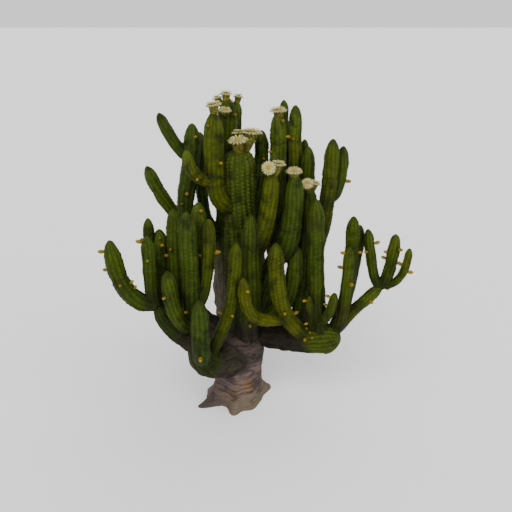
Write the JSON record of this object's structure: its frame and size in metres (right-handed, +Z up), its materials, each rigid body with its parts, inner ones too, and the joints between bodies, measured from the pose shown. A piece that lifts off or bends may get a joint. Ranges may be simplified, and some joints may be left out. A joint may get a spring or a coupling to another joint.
{
  "type": "cardon cactus",
  "caption": "Tall branching columnar cactus with a woody flared trunk, low spreading boughs, upright ribbed arms, white flowers and yellow fruit.",
  "frame": {"origin": "centre of the flat cut at ground level", "axes": "+Z up the trunk, +X toward the long low bough, -Y toward the side with the short front arms"},
  "size_m": [5.8903, 3.228, 6.3886],
  "materials": {
    "bark": "matte, wrinkled grey-brown bark",
    "green_flesh": "satin waxy green skin with dark grooves"
  },
  "bodies": {
    "root": {"trunk": "bark", "left_bough": "bark", "right_bough": "bark", "left_side_bough": "bark", "right_far_bough": "bark", "rear_bough": "bark", "rear_left_bough": "bark", "rear_right_bough": "bark", "leader": "green_flesh", "rear_left_stem": "green_flesh", "rear_right_stem": "green_flesh", "right_stem": "green_flesh", "left_arm_1": "green_flesh", "left_arm_2": "green_flesh", "left_arm_3": "green_flesh", "left_arm_4": "green_flesh", "left_arm_5": "green_flesh", "left_arm_6": "green_flesh", "left_arm_8": "green_flesh", "left_arm_7": "green_flesh", "left_arm_9": "green_flesh", "left_arm_10": "green_flesh", "front_arm_2": "green_flesh", "front_arm_1": "green_flesh", "right_arm_9": "green_flesh", "right_arm_10": "green_flesh", "right_arm_1": "green_flesh", "right_arm_3": "green_flesh", "right_arm_2": "green_flesh", "right_arm_4": "green_flesh", "right_arm_5": "green_flesh", "right_arm_6": "green_flesh", "right_arm_7": "green_flesh", "right_arm_8": "green_flesh", "right_arm_11": "green_flesh", "right_arm_12": "green_flesh", "top_left_arm_6": "green_flesh", "top_left_arm_3": "green_flesh", "top_left_arm_4": "green_flesh", "top_left_arm_1": "green_flesh", "top_left_arm_2": "green_flesh", "top_left_arm_5": "green_flesh", "top_left_arm_7": "green_flesh", "top_arm_1": "green_flesh", "top_right_arm_7": "green_flesh", "top_right_arm_8": "green_flesh", "top_right_arm_1": "green_flesh", "top_right_arm_6": "green_flesh", "top_right_arm_3": "green_flesh", "top_right_arm_2": "green_flesh", "top_right_arm_4": "green_flesh", "top_right_arm_9": "green_flesh", "top_right_arm_10": "green_flesh", "top_right_arm_11": "green_flesh", "rear_arm_1": "green_flesh", "rear_arm_2": "green_flesh", "rear_arm_3": "green_flesh", "rear_arm_4": "green_flesh", "rear_arm_5": "green_flesh", "rear_arm_6": "green_flesh"}
  },
  "joints": []
}
